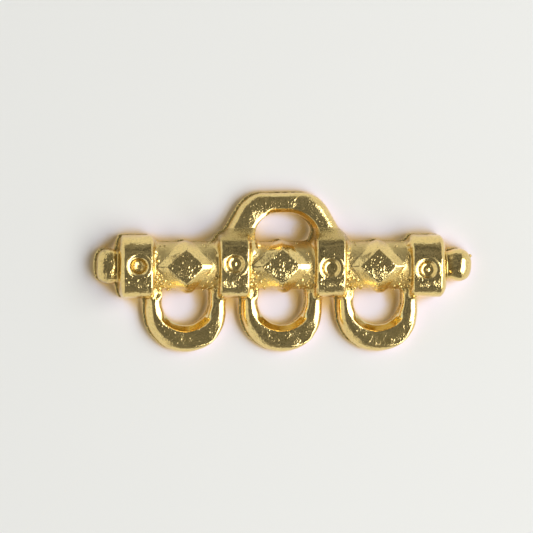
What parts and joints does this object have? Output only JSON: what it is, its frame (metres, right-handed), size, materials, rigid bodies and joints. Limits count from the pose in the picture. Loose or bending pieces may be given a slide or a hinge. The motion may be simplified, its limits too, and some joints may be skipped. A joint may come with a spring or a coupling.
{
  "type": "three-strand connector",
  "caption": "Cast jewellery connector: a collared bar with three strand loops along one side and one arched link loop on the other.",
  "frame": {"origin": "middle of the outline, on the plane of the flat back that the part rests on", "axes": "+X along the bar, +Y towards the single link loop, +Z out of the patterned front"},
  "size_m": [0.03, 0.0126, 0.0033],
  "materials": {
    "gold_plate": "bright gold plate over a grained casting"
  },
  "bodies": {
    "root": {"connector_casting": "gold_plate"}
  },
  "joints": []
}
